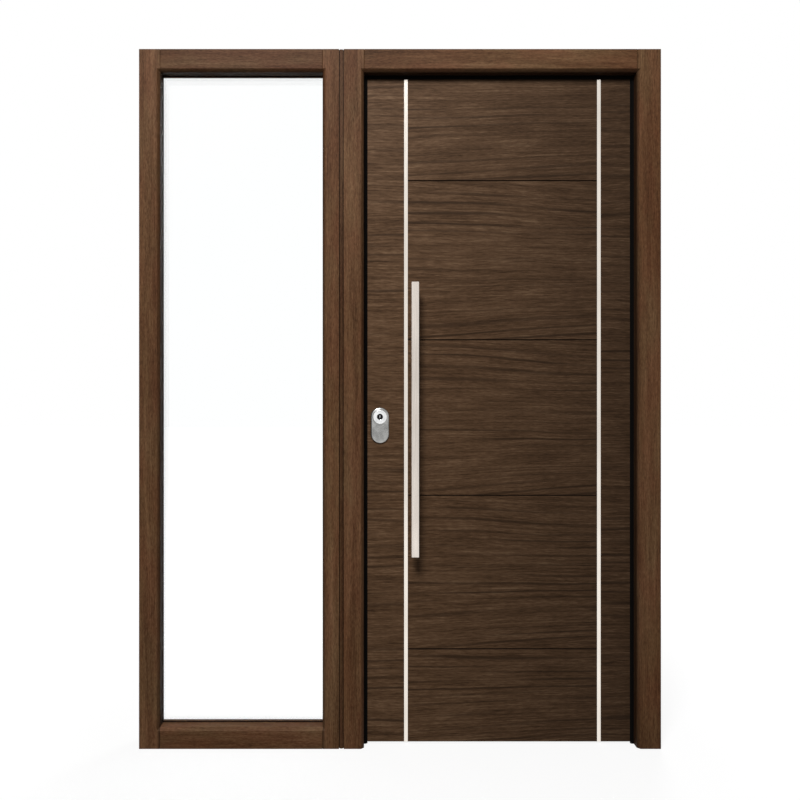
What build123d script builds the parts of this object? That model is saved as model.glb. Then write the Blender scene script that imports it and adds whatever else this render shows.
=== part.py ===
"""Timber entrance door with a fixed glazed sidelight, hung on three lift-off barrel hinges.

X runs to the right seen from outside, Y inwards and Z up, in millimetres. The origin is at floor
level on the outer side face of the hinge jamb, in the middle of the frame's depth.
"""

import os

from build123d import *

# Overall sizes of the two coupled frames
FRAME_HEIGHT = 2100.0
FRAME_DEPTH = 90.0
DOOR_FRAME_WIDTH = 952.0
SIDELIGHT_WIDTH = 600.0
COUPLING_WIDTH = 14.0

# Widths of the frame members as they show from outside
HINGE_JAMB_FACE = 70.0
LOCK_JAMB_FACE = 61.0
DOOR_HEAD_FACE = 67.0
OUTER_STILE_FACE = 62.0
INNER_STILE_FACE = 49.0
SIDELIGHT_HEAD_FACE = 67.0
BOTTOM_RAIL_FACE = 63.0
BEVEL = 9.0
JOINT_ARRIS = 2.0

# Coupling strip: set back from both faces, with a narrow shadow line on each side
COUPLING_RECESS = 2.5
SHADOW_LINE_WIDTH = 2.5
SHADOW_LINE_DEPTH = 4.0

# Anchor holes through the outer uprights into the wall
ANCHOR_RADIUS = 5.0
ANCHOR_SPACING = 1300.0
ANCHOR_BACK_DISTANCE = 28.0

# Door rebate and the seal on its stop
DOOR_REBATE = 15.0
STOP_GAP = 5.0
SEAL_COVER = 6.0
SEAL_REVEAL = 7.0
SEAL_CLEARANCE = 0.4
SEAL_ROUND = 1.5

# Leaf
LEAF_THICKNESS = 50.0
LEAF_GAP = 5.5
FLOOR_GAP = 5.0
LOCK_EDGE_BEVEL = 2.5
PANEL_THICKNESS = 10.0
LIPPING_WIDTH = 40.0

# Steel inlays and the grooves between them, on the outer panel
INLAY_WIDTH = 11.0
INLAY_DEPTH = 2.0
INLAY_LOCK_OFFSET = 137.5
INLAY_HINGE_OFFSET = 114.5
GROOVE_HEIGHTS = (287.0, 755.0, 1229.0, 1714.0)
GROOVE_WIDTH = 4.0
GROOVE_DEPTH = 2.5

# Sidelight glazing
GLASS_RECESS = 45.0
GLASS_REBATE = 22.0
GLASS_EDGE_CLEARANCE = 4.0
PANE_THICKNESS = 6.0
SPACER_THICKNESS = 16.0
SPACER_WIDTH = 10.0
GASKET_THICKNESS = 3.0
GASKET_REVEAL = 2.0
BEAD_SET_BACK = 8.0
BEAD_CHAMFER = 3.0

# Barrel hinges
HINGE_HEIGHT = 110.0
HINGE_PLATE_WIDTH = 30.0
HINGE_PLATE_THICKNESS = 3.0
HINGE_PROUD = 13.0
HINGE_END_DISTANCE = 230.0
KNUCKLE_RADIUS = 8.0
PIN_RADIUS = 4.0
PIN_CLEARANCE = 0.1
PIN_SHORT = 2.0
BEARING_GAP = 0.4

# Pull handle
PULL_LOCK_OFFSET = 162.0
PULL_CENTRE_HEIGHT = 990.0
PULL_LENGTH = 820.0
PULL_SECTION = 22.0
PULL_STANDOFF = 45.0
PULL_EDGE_ROUND = 1.5
PULL_END_CHAMFER = 1.0
POST_RADIUS = 8.0
POST_SPACING = 600.0

# Lock: case, cylinder and the shield outside
LOCK_BACKSET = 58.0
LOCK_HEIGHT = 995.0
SHIELD_WIDTH = 56.0
SHIELD_LENGTH = 109.0
SHIELD_THICKNESS = 8.0
SHIELD_CHAMFER = 2.5
BOSS_RADIUS = 22.0
BOSS_PROUD = 6.0
BOSS_CHAMFER = 1.5
CYLINDER_RADIUS = 8.8
CYLINDER_CLEARANCE = 0.2
CYLINDER_RECESS = 3.0
PLUG_RADIUS = 6.0
PLUG_CLEARANCE = 0.1
PLUG_LENGTH = 30.0
KEYWAY_WIDTH = 2.2
KEYWAY_HEIGHT = 8.0
KEYWAY_DEPTH = 24.0
CASE_LENGTH = 240.0
CASE_DEPTH = 85.0
CASE_THICKNESS = 16.0
CASE_ABOVE_CYLINDER = 145.0
FOREND_WIDTH = 22.0
FOREND_THICKNESS = 3.0
FOREND_OVERHANG = 15.0
STRIKE_WIDTH = 24.0
STRIKE_THICKNESS = 3.0
STRIKE_BOX_DEPTH = 22.0
BOLT_RADIUS = 8.0
BOLT_PITCH = 28.0
BOLT_COUNT = 3
BOLT_CENTRE_DROP = 25.0
BOLT_CLEARANCE = 0.5
BOLT_SET_BACK = 0.5
STRIKE_CLEARANCE = 1.5
LATCH_WIDTH = 11.0
LATCH_HEIGHT = 28.0

# Fittings inside
ROSE_RADIUS = 26.0
ROSE_THICKNESS = 8.0
ROSE_CHAMFER = 1.5
LEVER_ABOVE_CYLINDER = 85.0
LEVER_NECK_RADIUS = 8.0
LEVER_PROJECTION = 58.0
LEVER_LENGTH = 125.0
LEVER_WIDTH = 20.0
LEVER_THICKNESS = 10.0
LEVER_CHAMFER = 1.5
TURN_NECK_RADIUS = 7.0
TURN_NECK_LENGTH = 8.0
TURN_LENGTH = 36.0
TURN_WIDTH = 12.0
TURN_DEPTH = 18.0
TURN_CHAMFER = 2.0

# Planes and lines of the frame
FRONT_Y = -FRAME_DEPTH / 2
BACK_Y = FRAME_DEPTH / 2
LOCK_JAMB_X = -DOOR_FRAME_WIDTH
INNER_STILE_X = LOCK_JAMB_X - COUPLING_WIDTH
OUTER_STILE_X = INNER_STILE_X - SIDELIGHT_WIDTH
LEAF_BACK_Y = BACK_Y
LEAF_FRONT_Y = LEAF_BACK_Y - LEAF_THICKNESS
STOP_Y = LEAF_FRONT_Y - STOP_GAP
DOOR_SIGHT_LEFT = LOCK_JAMB_X + LOCK_JAMB_FACE
DOOR_SIGHT_RIGHT = -HINGE_JAMB_FACE
DOOR_SIGHT_TOP = FRAME_HEIGHT - DOOR_HEAD_FACE
DOOR_REBATE_LEFT = DOOR_SIGHT_LEFT - DOOR_REBATE
DOOR_REBATE_RIGHT = DOOR_SIGHT_RIGHT + DOOR_REBATE
DOOR_REBATE_TOP = DOOR_SIGHT_TOP + DOOR_REBATE
ANCHOR_Y = BACK_Y - ANCHOR_BACK_DISTANCE
ANCHOR_HEIGHTS = [FRAME_HEIGHT / 2 + side * ANCHOR_SPACING / 2 for side in (-1, 1)]

# Planes and lines of the sidelight
PANE_FRONT_Y = FRONT_Y + GLASS_RECESS
GLASS_SEAT_Y = PANE_FRONT_Y - GASKET_THICKNESS
SPACER_FRONT_Y = PANE_FRONT_Y + PANE_THICKNESS
INNER_PANE_Y = SPACER_FRONT_Y + SPACER_THICKNESS
GLASS_BACK_Y = INNER_PANE_Y + PANE_THICKNESS
LIGHT_SIGHT_LEFT = OUTER_STILE_X + OUTER_STILE_FACE
LIGHT_SIGHT_RIGHT = INNER_STILE_X - INNER_STILE_FACE
LIGHT_SIGHT_BOTTOM = BOTTOM_RAIL_FACE
LIGHT_SIGHT_TOP = FRAME_HEIGHT - SIDELIGHT_HEAD_FACE
LIGHT_REBATE_LEFT = LIGHT_SIGHT_LEFT - GLASS_REBATE
LIGHT_REBATE_RIGHT = LIGHT_SIGHT_RIGHT + GLASS_REBATE
LIGHT_REBATE_BOTTOM = LIGHT_SIGHT_BOTTOM - GLASS_REBATE
LIGHT_REBATE_TOP = LIGHT_SIGHT_TOP + GLASS_REBATE
PANE_LEFT = LIGHT_REBATE_LEFT + GLASS_EDGE_CLEARANCE
PANE_RIGHT = LIGHT_REBATE_RIGHT - GLASS_EDGE_CLEARANCE
PANE_BOTTOM = LIGHT_REBATE_BOTTOM + GLASS_EDGE_CLEARANCE
PANE_TOP = LIGHT_REBATE_TOP - GLASS_EDGE_CLEARANCE
BEAD_LEFT = LIGHT_SIGHT_LEFT - BEAD_SET_BACK
BEAD_RIGHT = LIGHT_SIGHT_RIGHT + BEAD_SET_BACK

# Planes and lines of the leaf
LEAF_LOCK_X = DOOR_REBATE_LEFT + LEAF_GAP
LEAF_HINGE_X = DOOR_REBATE_RIGHT - LEAF_GAP
LEAF_BOTTOM_Z = FLOOR_GAP
LEAF_TOP_Z = DOOR_REBATE_TOP - LEAF_GAP
CORE_FRONT_Y = LEAF_FRONT_Y + PANEL_THICKNESS
CORE_BACK_Y = LEAF_BACK_Y - PANEL_THICKNESS
CORE_MIDDLE_Y = (CORE_FRONT_Y + CORE_BACK_Y) / 2
CORE_LOCK_X = LEAF_LOCK_X + LOCK_EDGE_BEVEL + LIPPING_WIDTH
CORE_HINGE_X = LEAF_HINGE_X - LIPPING_WIDTH
CORE_BOTTOM_Z = LEAF_BOTTOM_Z + LIPPING_WIDTH
CORE_TOP_Z = LEAF_TOP_Z - LIPPING_WIDTH
INLAY_LOCK_X = LEAF_LOCK_X + INLAY_LOCK_OFFSET
INLAY_HINGE_X = LEAF_HINGE_X - INLAY_HINGE_OFFSET
PULL_X = LEAF_LOCK_X + PULL_LOCK_OFFSET
PULL_BACK_Y = LEAF_FRONT_Y - PULL_STANDOFF
POST_HEIGHTS = [PULL_CENTRE_HEIGHT + side * POST_SPACING / 2 for side in (-1, 1)]

# Planes and lines of the hinges
HINGE_AXIS_X = (DOOR_REBATE_RIGHT + LEAF_HINGE_X) / 2
HINGE_AXIS_Y = LEAF_BACK_Y + HINGE_PROUD
HINGE_LEVELS = {
    "lower": LEAF_BOTTOM_Z + HINGE_END_DISTANCE,
    "middle": (LEAF_BOTTOM_Z + LEAF_TOP_Z) / 2,
    "upper": LEAF_TOP_Z - HINGE_END_DISTANCE,
}
HINGE_PLATE_FRONT_Y = LEAF_BACK_Y - HINGE_PLATE_WIDTH
JAMB_PLATE_X = DOOR_REBATE_RIGHT + HINGE_PLATE_THICKNESS
LEAF_PLATE_X = LEAF_HINGE_X - HINGE_PLATE_THICKNESS

# Planes and lines of the lock
LOCK_X = LEAF_LOCK_X + LOCK_BACKSET
SHIELD_HEIGHT = LOCK_HEIGHT - (SHIELD_LENGTH - SHIELD_WIDTH) / 2
BOSS_FRONT_Y = LEAF_FRONT_Y - SHIELD_THICKNESS - BOSS_PROUD
CYLINDER_FRONT_Y = BOSS_FRONT_Y + CYLINDER_RECESS
CYLINDER_BACK_Y = LEAF_BACK_Y + ROSE_THICKNESS
CYLINDER_BORE = CYLINDER_RADIUS + CYLINDER_CLEARANCE
CASE_TOP_Z = LOCK_HEIGHT + CASE_ABOVE_CYLINDER
CASE_BOTTOM_Z = CASE_TOP_Z - CASE_LENGTH
CASE_FRONT_Y = CORE_MIDDLE_Y - CASE_THICKNESS / 2
CASE_BACK_Y = CORE_MIDDLE_Y + CASE_THICKNESS / 2
FOREND_BOTTOM_Z = CASE_BOTTOM_Z - FOREND_OVERHANG
FOREND_TOP_Z = CASE_TOP_Z + FOREND_OVERHANG
FOREND_FRONT_Y = CORE_MIDDLE_Y - FOREND_WIDTH / 2
FOREND_BACK_Y = CORE_MIDDLE_Y + FOREND_WIDTH / 2
STRIKE_FRONT_Y = CORE_MIDDLE_Y - STRIKE_WIDTH / 2
STRIKE_BACK_Y = CORE_MIDDLE_Y + STRIKE_WIDTH / 2
STRIKE_X = DOOR_REBATE_LEFT - STRIKE_THICKNESS
STRIKE_HOLE_RADIUS = BOLT_RADIUS + STRIKE_CLEARANCE
LEVER_HEIGHT = LOCK_HEIGHT + LEVER_ABOVE_CYLINDER
BOLT_CENTRE_Z = LOCK_HEIGHT - BOLT_CENTRE_DROP
BOLT_HEIGHTS = [BOLT_CENTRE_Z + BOLT_PITCH * (i - (BOLT_COUNT - 1) / 2) for i in range(BOLT_COUNT)]
ROSE_BACK_Y = LEAF_BACK_Y + ROSE_THICKNESS


def lock_edge_x(y):
    """The leaf's lock edge leans back towards the outside, so that it clears the jamb as it swings."""
    return LEAF_LOCK_X + LOCK_EDGE_BEVEL * (LEAF_BACK_Y - y) / LEAF_THICKNESS


CASE_X = lock_edge_x(CORE_BACK_Y) + LOCK_EDGE_BEVEL + FOREND_THICKNESS


def middle(low, high):
    return (low + high) / 2


def around(centre, width):
    return (centre - width / 2, centre + width / 2)


def block(x_range, y_range, z_range, mode=Mode.ADD):
    """A square-edged block, drawn in plan and raised."""
    with BuildSketch(Plane.XY.offset(z_range[0])) as plan:
        with Locations((middle(*x_range), middle(*y_range))):
            Rectangle(x_range[1] - x_range[0], y_range[1] - y_range[0])
    extrude(plan.sketch, amount=z_range[1] - z_range[0], mode=mode)


def prism(plane, corners, length, mode=Mode.ADD):
    """A straight-sided section drawn on a plane and extruded along its normal."""
    with BuildSketch(plane) as section:
        with BuildLine():
            Polyline(*corners, close=True)
        make_face()
    extrude(section.sketch, amount=length, mode=mode)


def rod(start, direction, radius, length):
    """A round bar from a point along a direction."""
    with BuildSketch(Plane(origin=start, z_dir=direction)) as end:
        Circle(radius)
    extrude(end.sketch, amount=length)


def bore(start, outward, radius, depth):
    """A round hole that enters a face at a point, against the face's outward direction."""
    with Locations(Plane(origin=start, z_dir=outward)):
        Hole(radius=radius, depth=depth)


def ring(x_range, z_range, width, y_range):
    """A rectangular ring, seen from the front, with sides of one width."""
    with BuildSketch(Plane.XZ.offset(-y_range[1])) as outline:
        with Locations((middle(*x_range), middle(*z_range))):
            Rectangle(x_range[1] - x_range[0], z_range[1] - z_range[0])
            Rectangle(
                x_range[1] - x_range[0] - 2 * width,
                z_range[1] - z_range[0] - 2 * width,
                mode=Mode.SUBTRACT,
            )
    extrude(outline.sketch, amount=y_range[1] - y_range[0])


def upright(wall_x, rebate_x, sight_x, seat_y):
    """A rebated upright of the frame, full height: wide in front of the seat, narrow behind it."""
    corners = [
        (wall_x, FRONT_Y),
        (sight_x, FRONT_Y),
        (sight_x, seat_y),
        (rebate_x, seat_y),
        (rebate_x, BACK_Y),
        (wall_x, BACK_Y),
    ]
    prism(Plane.XY, corners, FRAME_HEIGHT)


def crossrail(member, sight_range, rebate_range, wall_z, rebate_z, sight_z, seat_y):
    """A rebated head or rail: its back runs into the uprights' rebates, its face between their sights.

    The ends of the face are eased, so that each joint shows as a fine line.
    """
    corners = [
        (FRONT_Y, wall_z),
        (FRONT_Y, sight_z),
        (seat_y, sight_z),
        (seat_y, rebate_z),
        (BACK_Y, rebate_z),
        (BACK_Y, wall_z),
    ]
    prism(Plane.YZ.offset(rebate_range[0]), corners, rebate_range[1] - rebate_range[0])
    z_range = sorted((wall_z, sight_z))
    for x_range in ((rebate_range[0], sight_range[0]), (sight_range[1], rebate_range[1])):
        block(x_range, (FRONT_Y, seat_y), z_range, mode=Mode.SUBTRACT)
    chamfer(member.edges().filter_by(Axis.Z).group_by(Axis.Y)[0], length=JOINT_ARRIS)


def cut_bevel(x_range, z_range):
    """The bevel round an opening, mitred at its corners: a funnel from the face to the sight lines."""
    with BuildSketch(Plane.XZ.offset(-FRONT_Y)) as mouth:
        with Locations((middle(*x_range), middle(*z_range))):
            Rectangle(x_range[1] - x_range[0] + 2 * BEVEL, z_range[1] - z_range[0] + 2 * BEVEL)
    with BuildSketch(Plane.XZ.offset(-FRONT_Y - BEVEL)) as throat:
        with Locations((middle(*x_range), middle(*z_range))):
            Rectangle(x_range[1] - x_range[0], z_range[1] - z_range[0])
    loft([mouth.sketch.face(), throat.sketch.face()], ruled=True, mode=Mode.SUBTRACT)


def save(piece, name):
    piece.part.label = name
    export_step(piece.part, f"parts/{name}.step")


os.makedirs("parts", exist_ok=True)

DOOR_OPENING = ((DOOR_SIGHT_LEFT, DOOR_SIGHT_RIGHT), (-2 * BEVEL, DOOR_SIGHT_TOP))
LIGHT_OPENING = ((LIGHT_SIGHT_LEFT, LIGHT_SIGHT_RIGHT), (LIGHT_SIGHT_BOTTOM, LIGHT_SIGHT_TOP))
LIGHT_REBATE = (LIGHT_REBATE_LEFT, LIGHT_REBATE_RIGHT)

# Door frame: two jambs and the head between them
with BuildPart() as hinge_jamb:
    upright(0.0, DOOR_REBATE_RIGHT, DOOR_SIGHT_RIGHT, STOP_Y)
    cut_bevel(*DOOR_OPENING)
    for height in ANCHOR_HEIGHTS:
        bore((0.0, ANCHOR_Y, height), (1, 0, 0), ANCHOR_RADIUS, -DOOR_REBATE_RIGHT)
    for height in HINGE_LEVELS.values():
        block(
            (DOOR_REBATE_RIGHT, JAMB_PLATE_X),
            (HINGE_PLATE_FRONT_Y, BACK_Y),
            around(height, HINGE_HEIGHT),
            mode=Mode.SUBTRACT,
        )
save(hinge_jamb, "hinge_jamb")

with BuildPart() as lock_jamb:
    upright(LOCK_JAMB_X, DOOR_REBATE_LEFT, DOOR_SIGHT_LEFT, STOP_Y)
    cut_bevel(*DOOR_OPENING)
    block(
        (STRIKE_X, DOOR_REBATE_LEFT),
        (STRIKE_FRONT_Y, STRIKE_BACK_Y),
        (FOREND_BOTTOM_Z, FOREND_TOP_Z),
        mode=Mode.SUBTRACT,
    )
    block(
        (STRIKE_X - STRIKE_BOX_DEPTH, STRIKE_X),
        around(CORE_MIDDLE_Y, 2 * STRIKE_HOLE_RADIUS),
        (CASE_BOTTOM_Z, CASE_TOP_Z),
        mode=Mode.SUBTRACT,
    )
save(lock_jamb, "lock_jamb")

with BuildPart() as door_head:
    crossrail(
        door_head,
        (DOOR_SIGHT_LEFT, DOOR_SIGHT_RIGHT),
        (DOOR_REBATE_LEFT, DOOR_REBATE_RIGHT),
        FRAME_HEIGHT,
        DOOR_REBATE_TOP,
        DOOR_SIGHT_TOP,
        STOP_Y,
    )
    cut_bevel(*DOOR_OPENING)
save(door_head, "door_head")

# Soft seal along the stop, on three sides
with BuildPart() as door_seal:
    seal_left = DOOR_SIGHT_LEFT - SEAL_COVER
    seal_right = DOOR_SIGHT_RIGHT + SEAL_COVER
    seal_top = DOOR_SIGHT_TOP + SEAL_COVER
    seal_width = SEAL_COVER + SEAL_REVEAL
    seal_back_y = LEAF_FRONT_Y - SEAL_CLEARANCE
    with BuildSketch(Plane.XZ.offset(-seal_back_y)):
        with Locations((middle(seal_left, seal_right), seal_top / 2)):
            Rectangle(seal_right - seal_left, seal_top)
        with Locations((middle(seal_left, seal_right), (seal_top - seal_width) / 2)):
            Rectangle(seal_right - seal_left - 2 * seal_width, seal_top - seal_width, mode=Mode.SUBTRACT)
    extrude(amount=seal_back_y - STOP_Y)
    lip_edges = door_seal.faces().sort_by(Axis.Y)[-1].edges()
    fillet(lip_edges, radius=SEAL_ROUND)
save(door_seal, "door_seal")

# Strike plate with openings for the latch and the bolts
with BuildPart() as strike_plate:
    block((STRIKE_X, DOOR_REBATE_LEFT), (STRIKE_FRONT_Y, STRIKE_BACK_Y), (FOREND_BOTTOM_Z, FOREND_TOP_Z))
    for height in BOLT_HEIGHTS:
        bore(
            (DOOR_REBATE_LEFT, CORE_MIDDLE_Y, height),
            (1, 0, 0),
            STRIKE_HOLE_RADIUS,
            STRIKE_THICKNESS,
        )
    block(
        (STRIKE_X, DOOR_REBATE_LEFT),
        around(CORE_MIDDLE_Y, LATCH_WIDTH + 2 * STRIKE_CLEARANCE),
        around(LEVER_HEIGHT, LATCH_HEIGHT + 2 * STRIKE_CLEARANCE),
        mode=Mode.SUBTRACT,
    )
save(strike_plate, "strike_plate")

# Sidelight frame: two stiles, head and bottom rail
with BuildPart() as sidelight_outer_stile:
    upright(OUTER_STILE_X, LIGHT_REBATE_LEFT, LIGHT_SIGHT_LEFT, GLASS_SEAT_Y)
    cut_bevel(*LIGHT_OPENING)
    for height in ANCHOR_HEIGHTS:
        bore(
            (OUTER_STILE_X, ANCHOR_Y, height),
            (-1, 0, 0),
            ANCHOR_RADIUS,
            LIGHT_REBATE_LEFT - OUTER_STILE_X,
        )
save(sidelight_outer_stile, "sidelight_outer_stile")

with BuildPart() as sidelight_inner_stile:
    upright(INNER_STILE_X, LIGHT_REBATE_RIGHT, LIGHT_SIGHT_RIGHT, GLASS_SEAT_Y)
    cut_bevel(*LIGHT_OPENING)
save(sidelight_inner_stile, "sidelight_inner_stile")

with BuildPart() as sidelight_head:
    crossrail(
        sidelight_head,
        LIGHT_OPENING[0],
        LIGHT_REBATE,
        FRAME_HEIGHT,
        LIGHT_REBATE_TOP,
        LIGHT_SIGHT_TOP,
        GLASS_SEAT_Y,
    )
    cut_bevel(*LIGHT_OPENING)
save(sidelight_head, "sidelight_head")

with BuildPart() as sidelight_bottom_rail:
    crossrail(
        sidelight_bottom_rail,
        LIGHT_OPENING[0],
        LIGHT_REBATE,
        0.0,
        LIGHT_REBATE_BOTTOM,
        LIGHT_SIGHT_BOTTOM,
        GLASS_SEAT_Y,
    )
    cut_bevel(*LIGHT_OPENING)
save(sidelight_bottom_rail, "sidelight_bottom_rail")

# Coupling strip between the frames, stepped at both faces
with BuildPart() as coupling_strip:
    with BuildSketch():
        with Locations((middle(INNER_STILE_X, LOCK_JAMB_X), 0)):
            Rectangle(COUPLING_WIDTH - 2 * SHADOW_LINE_WIDTH, FRAME_DEPTH - 2 * COUPLING_RECESS)
            Rectangle(COUPLING_WIDTH, FRAME_DEPTH - 2 * COUPLING_RECESS - 2 * SHADOW_LINE_DEPTH)
    extrude(amount=FRAME_HEIGHT)
save(coupling_strip, "coupling_strip")

# Double glazing: gasket, two panes and the spacer between their edges
with BuildPart() as glazing_gasket:
    ring(
        (PANE_LEFT, PANE_RIGHT),
        (PANE_BOTTOM, PANE_TOP),
        GLASS_REBATE - GLASS_EDGE_CLEARANCE + GASKET_REVEAL,
        (GLASS_SEAT_Y, PANE_FRONT_Y),
    )
save(glazing_gasket, "glazing_gasket")

with BuildPart() as sidelight_outer_pane:
    block((PANE_LEFT, PANE_RIGHT), (PANE_FRONT_Y, SPACER_FRONT_Y), (PANE_BOTTOM, PANE_TOP))
save(sidelight_outer_pane, "sidelight_outer_pane")

with BuildPart() as glass_spacer:
    ring((PANE_LEFT, PANE_RIGHT), (PANE_BOTTOM, PANE_TOP), SPACER_WIDTH, (SPACER_FRONT_Y, INNER_PANE_Y))
save(glass_spacer, "glass_spacer")

with BuildPart() as sidelight_inner_pane:
    block((PANE_LEFT, PANE_RIGHT), (INNER_PANE_Y, GLASS_BACK_Y), (PANE_BOTTOM, PANE_TOP))
save(sidelight_inner_pane, "sidelight_inner_pane")

# Glazing beads inside, set back from the sight lines: uprights the full height of the rebate, and
# the others between them
for side, wall_x, free_x in (
    ("left", LIGHT_REBATE_LEFT, BEAD_LEFT),
    ("right", LIGHT_REBATE_RIGHT, BEAD_RIGHT),
):
    towards_wall = 1 if wall_x > free_x else -1
    with BuildPart() as upright_bead:
        bead_corners = [
            (wall_x, GLASS_BACK_Y),
            (free_x, GLASS_BACK_Y),
            (free_x, BACK_Y - BEAD_CHAMFER),
            (free_x + towards_wall * BEAD_CHAMFER, BACK_Y),
            (wall_x, BACK_Y),
        ]
        prism(Plane.XY.offset(LIGHT_REBATE_BOTTOM), bead_corners, LIGHT_REBATE_TOP - LIGHT_REBATE_BOTTOM)
    save(upright_bead, f"glazing_bead_{side}")

for side, wall_z, free_z in (
    ("bottom", LIGHT_REBATE_BOTTOM, LIGHT_SIGHT_BOTTOM - BEAD_SET_BACK),
    ("top", LIGHT_REBATE_TOP, LIGHT_SIGHT_TOP + BEAD_SET_BACK),
):
    towards_wall = 1 if wall_z > free_z else -1
    with BuildPart() as cross_bead:
        bead_corners = [
            (GLASS_BACK_Y, wall_z),
            (GLASS_BACK_Y, free_z),
            (BACK_Y - BEAD_CHAMFER, free_z),
            (BACK_Y, free_z + towards_wall * BEAD_CHAMFER),
            (BACK_Y, wall_z),
        ]
        prism(Plane.YZ.offset(BEAD_LEFT), bead_corners, BEAD_RIGHT - BEAD_LEFT)
    save(cross_bead, f"glazing_bead_{side}")


def leaf_layer(y_range, x_end, z_range):
    """A layer of the leaf from the leaning lock edge to a line, seen in plan."""
    corners = [
        (lock_edge_x(y_range[0]), y_range[0]),
        (x_end, y_range[0]),
        (x_end, y_range[1]),
        (lock_edge_x(y_range[1]), y_range[1]),
    ]
    prism(Plane.XY.offset(z_range[0]), corners, z_range[1] - z_range[0])


def cut_leaf_hinge_seats():
    for height in HINGE_LEVELS.values():
        block(
            (LEAF_PLATE_X, LEAF_HINGE_X),
            (HINGE_PLATE_FRONT_Y, LEAF_BACK_Y),
            around(height, HINGE_HEIGHT),
            mode=Mode.SUBTRACT,
        )


def cut_lock_pocket():
    block(
        (CASE_X, CASE_X + CASE_DEPTH),
        (CASE_FRONT_Y, CASE_BACK_Y),
        (CASE_BOTTOM_Z, CASE_TOP_Z),
        mode=Mode.SUBTRACT,
    )


def forend_plan():
    """Plan of the strip let into the lock edge, parallel to that edge."""
    return [
        (lock_edge_x(FOREND_FRONT_Y), FOREND_FRONT_Y),
        (CASE_X, FOREND_FRONT_Y),
        (CASE_X, FOREND_BACK_Y),
        (lock_edge_x(FOREND_BACK_Y), FOREND_BACK_Y),
    ]


LEAF_Z = (LEAF_BOTTOM_Z, LEAF_TOP_Z)
CORE_Y = (CORE_FRONT_Y, CORE_BACK_Y)
FOREND_LENGTH = FOREND_TOP_Z - FOREND_BOTTOM_Z

# Leaf: outer panel with two inlay channels and the grooves between them
with BuildPart() as outer_panel:
    leaf_layer((LEAF_FRONT_Y, CORE_FRONT_Y), LEAF_HINGE_X, LEAF_Z)
    for inlay_x in (INLAY_LOCK_X, INLAY_HINGE_X):
        block(
            around(inlay_x, INLAY_WIDTH),
            (LEAF_FRONT_Y, LEAF_FRONT_Y + INLAY_DEPTH),
            LEAF_Z,
            mode=Mode.SUBTRACT,
        )
    groove_start = INLAY_LOCK_X + INLAY_WIDTH / 2
    groove_length = INLAY_HINGE_X - INLAY_WIDTH / 2 - groove_start
    for height in GROOVE_HEIGHTS:
        groove_corners = [
            (LEAF_FRONT_Y, height - GROOVE_WIDTH / 2),
            (LEAF_FRONT_Y, height + GROOVE_WIDTH / 2),
            (LEAF_FRONT_Y + GROOVE_DEPTH, height),
        ]
        prism(Plane.YZ.offset(groove_start), groove_corners, groove_length, mode=Mode.SUBTRACT)
    bore((LOCK_X, LEAF_FRONT_Y, LOCK_HEIGHT), (0, -1, 0), CYLINDER_BORE, PANEL_THICKNESS)
save(outer_panel, "outer_panel")

for side, inlay_x in (("lock_side", INLAY_LOCK_X), ("hinge_side", INLAY_HINGE_X)):
    with BuildPart() as inlay:
        block(
            around(inlay_x, INLAY_WIDTH),
            (LEAF_FRONT_Y, LEAF_FRONT_Y + INLAY_DEPTH),
            LEAF_Z,
        )
    save(inlay, f"inlay_{side}")

with BuildPart() as inner_panel:
    leaf_layer((CORE_BACK_Y, LEAF_BACK_Y), LEAF_HINGE_X, LEAF_Z)
    cut_leaf_hinge_seats()
    bore((LOCK_X, LEAF_BACK_Y, LOCK_HEIGHT), (0, 1, 0), CYLINDER_BORE, PANEL_THICKNESS)
save(inner_panel, "inner_panel")

with BuildPart() as leaf_core:
    block((CORE_LOCK_X, CORE_HINGE_X), CORE_Y, (CORE_BOTTOM_Z, CORE_TOP_Z))
    cut_lock_pocket()
    bore((LOCK_X, CORE_BACK_Y, LOCK_HEIGHT), (0, 1, 0), CYLINDER_BORE, CORE_BACK_Y - CORE_FRONT_Y)
save(leaf_core, "leaf_core")

# Solid lippings round the core
with BuildPart() as lock_lipping:
    leaf_layer(CORE_Y, CORE_LOCK_X, LEAF_Z)
    prism(Plane.XY.offset(FOREND_BOTTOM_Z), forend_plan(), FOREND_LENGTH, mode=Mode.SUBTRACT)
    cut_lock_pocket()
save(lock_lipping, "lock_lipping")

with BuildPart() as hinge_lipping:
    block((CORE_HINGE_X, LEAF_HINGE_X), CORE_Y, LEAF_Z)
    cut_leaf_hinge_seats()
save(hinge_lipping, "hinge_lipping")

with BuildPart() as top_lipping:
    block((CORE_LOCK_X, CORE_HINGE_X), CORE_Y, (CORE_TOP_Z, LEAF_TOP_Z))
save(top_lipping, "top_lipping")

with BuildPart() as bottom_lipping:
    block((CORE_LOCK_X, CORE_HINGE_X), CORE_Y, (LEAF_BOTTOM_Z, CORE_BOTTOM_Z))
save(bottom_lipping, "bottom_lipping")

# Mortise lock: case in its pocket, forend in the lock edge, bolt and latch ends drawn back flush
with BuildPart() as lock_case:
    block((CASE_X, CASE_X + CASE_DEPTH), (CASE_FRONT_Y, CASE_BACK_Y), (CASE_BOTTOM_Z, CASE_TOP_Z))
    bore((LOCK_X, CASE_BACK_Y, LOCK_HEIGHT), (0, 1, 0), CYLINDER_BORE, CASE_THICKNESS)
save(lock_case, "lock_case")

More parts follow.
